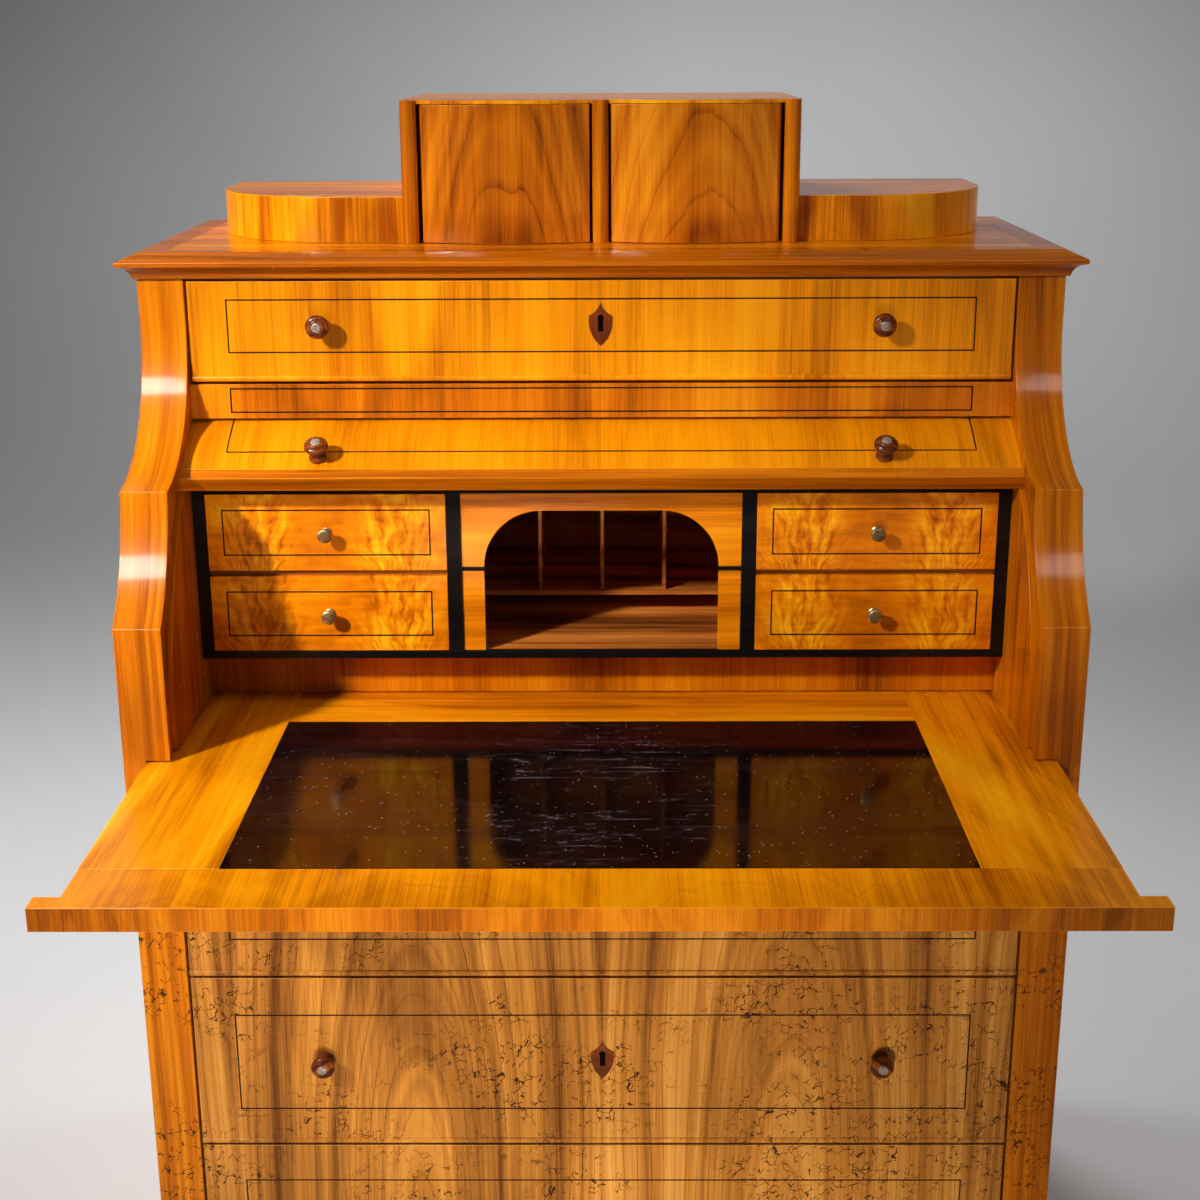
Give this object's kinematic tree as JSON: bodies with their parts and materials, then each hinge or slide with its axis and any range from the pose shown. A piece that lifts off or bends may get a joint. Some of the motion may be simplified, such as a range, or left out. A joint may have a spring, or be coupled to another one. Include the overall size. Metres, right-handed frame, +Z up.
{
  "type": "cylinder bureau",
  "caption": "Cherrywood escritoire with a cylinder flap over a fitted nest, a pull-out writing board, drawers above and below, and a stepped top with a small two-door cabinet.",
  "frame": {"origin": "on the floor, in the middle of the footprint box with the writing board pulled out as in the picture", "axes": "+X to the user's right, +Y from the front to the back, +Z up"},
  "size_m": [1.0386, 0.927, 1.4157],
  "materials": {
    "cherry": "French polished cherry veneer, glossy, worn at the edges",
    "ebonised": "ebonised, satin",
    "writing_surface": "black lacquered, glossy, scratched",
    "softwood": "plain planed softwood, aged",
    "knob_wood": "turned dark wood with a pale eye, polished",
    "brass": "turned brass, aged",
    "plate": "reddish brown plate, satin"
  },
  "bodies": {
    "case": {"arch_panel": "cherry", "back_panel": "softwood", "base": "cherry", "cabinet_case": "cherry", "cabinet_columns": "cherry", "cheek_left": "cherry", "cheek_right": "cherry", "corner_posts": "cherry", "cornice": "cherry", "drawer_bearers": "softwood", "dust_board": "softwood", "feet": "cherry", "frieze": "cherry", "letter_rack": "softwood", "nest_case": "softwood", "nest_drawer_shelves": "cherry", "nest_face_frame": "ebonised", "riser": "cherry", "side_left": "cherry", "side_right": "cherry", "top_board": "cherry", "top_steps": "cherry"},
    "writing_board": {"board_back_rail": "cherry", "board_front_rail": "cherry", "board_panel": "writing_surface", "board_side_rails": "cherry"},
    "flap": {"flap_knobs": "knob_wood", "flap_lip": "cherry", "flap_shell": "cherry"},
    "top_drawer": {"top_drawer_escutcheon": "plate", "top_drawer_front": "cherry", "top_drawer_knobs": "knob_wood", "top_drawer_tray": "softwood"},
    "drawer_1": {"drawer_1_escutcheon": "plate", "drawer_1_front": "cherry", "drawer_1_knobs": "knob_wood", "drawer_1_tray": "softwood"},
    "drawer_2": {"drawer_2_escutcheon": "plate", "drawer_2_front": "cherry", "drawer_2_knobs": "knob_wood", "drawer_2_tray": "softwood"},
    "drawer_3": {"drawer_3_escutcheon": "plate", "drawer_3_front": "cherry", "drawer_3_knobs": "knob_wood", "drawer_3_tray": "softwood"},
    "small_drawer_upper_left": {"small_drawer_upper_left_front": "cherry", "small_drawer_upper_left_knob": "brass", "small_drawer_upper_left_tray": "softwood"},
    "small_drawer_lower_left": {"small_drawer_lower_left_front": "cherry", "small_drawer_lower_left_knob": "brass", "small_drawer_lower_left_tray": "softwood"},
    "small_drawer_upper_right": {"small_drawer_upper_right_front": "cherry", "small_drawer_upper_right_knob": "brass", "small_drawer_upper_right_tray": "softwood"},
    "small_drawer_lower_right": {"small_drawer_lower_right_front": "cherry", "small_drawer_lower_right_knob": "brass", "small_drawer_lower_right_tray": "softwood"},
    "cabinet_door_left": {"cabinet_door_left": "cherry"},
    "cabinet_door_right": {"cabinet_door_right": "cherry"}
  },
  "joints": [
    {"name": "writing_board_slide", "type": "slide", "parent": "case", "child": "writing_board", "axis": [0, -1, 0], "range_m": [-0.3136, 0]},
    {"name": "flap_roll", "type": "hinge", "parent": "case", "child": "flap", "pos_m": [0, 0.1985, 0.7847], "axis": [-1, 0, 0], "range_deg": [-56.1, 0]},
    {"name": "top_drawer_slide", "type": "slide", "parent": "case", "child": "top_drawer", "axis": [0, -1, 0], "range_m": [0, 0.24]},
    {"name": "drawer_1_slide", "type": "slide", "parent": "case", "child": "drawer_1", "axis": [0, -1, 0], "range_m": [0, 0.38]},
    {"name": "drawer_2_slide", "type": "slide", "parent": "case", "child": "drawer_2", "axis": [0, -1, 0], "range_m": [0, 0.38]},
    {"name": "drawer_3_slide", "type": "slide", "parent": "case", "child": "drawer_3", "axis": [0, -1, 0], "range_m": [0, 0.38]},
    {"name": "small_drawer_upper_left_slide", "type": "slide", "parent": "case", "child": "small_drawer_upper_left", "axis": [0, -1, 0], "range_m": [0, 0.17]},
    {"name": "small_drawer_lower_left_slide", "type": "slide", "parent": "case", "child": "small_drawer_lower_left", "axis": [0, -1, 0], "range_m": [0, 0.17]},
    {"name": "small_drawer_upper_right_slide", "type": "slide", "parent": "case", "child": "small_drawer_upper_right", "axis": [0, -1, 0], "range_m": [0, 0.17]},
    {"name": "small_drawer_lower_right_slide", "type": "slide", "parent": "case", "child": "small_drawer_lower_right", "axis": [0, -1, 0], "range_m": [0, 0.17]},
    {"name": "cabinet_door_left_hinge", "type": "hinge", "parent": "case", "child": "cabinet_door_left", "pos_m": [-0.192, 0.1705, 1.2617], "axis": [0, 0, -1], "range_deg": [0, 85]},
    {"name": "cabinet_door_right_hinge", "type": "hinge", "parent": "case", "child": "cabinet_door_right", "pos_m": [0.192, 0.1705, 1.2617], "axis": [0, 0, 1], "range_deg": [0, 85]}
  ]
}
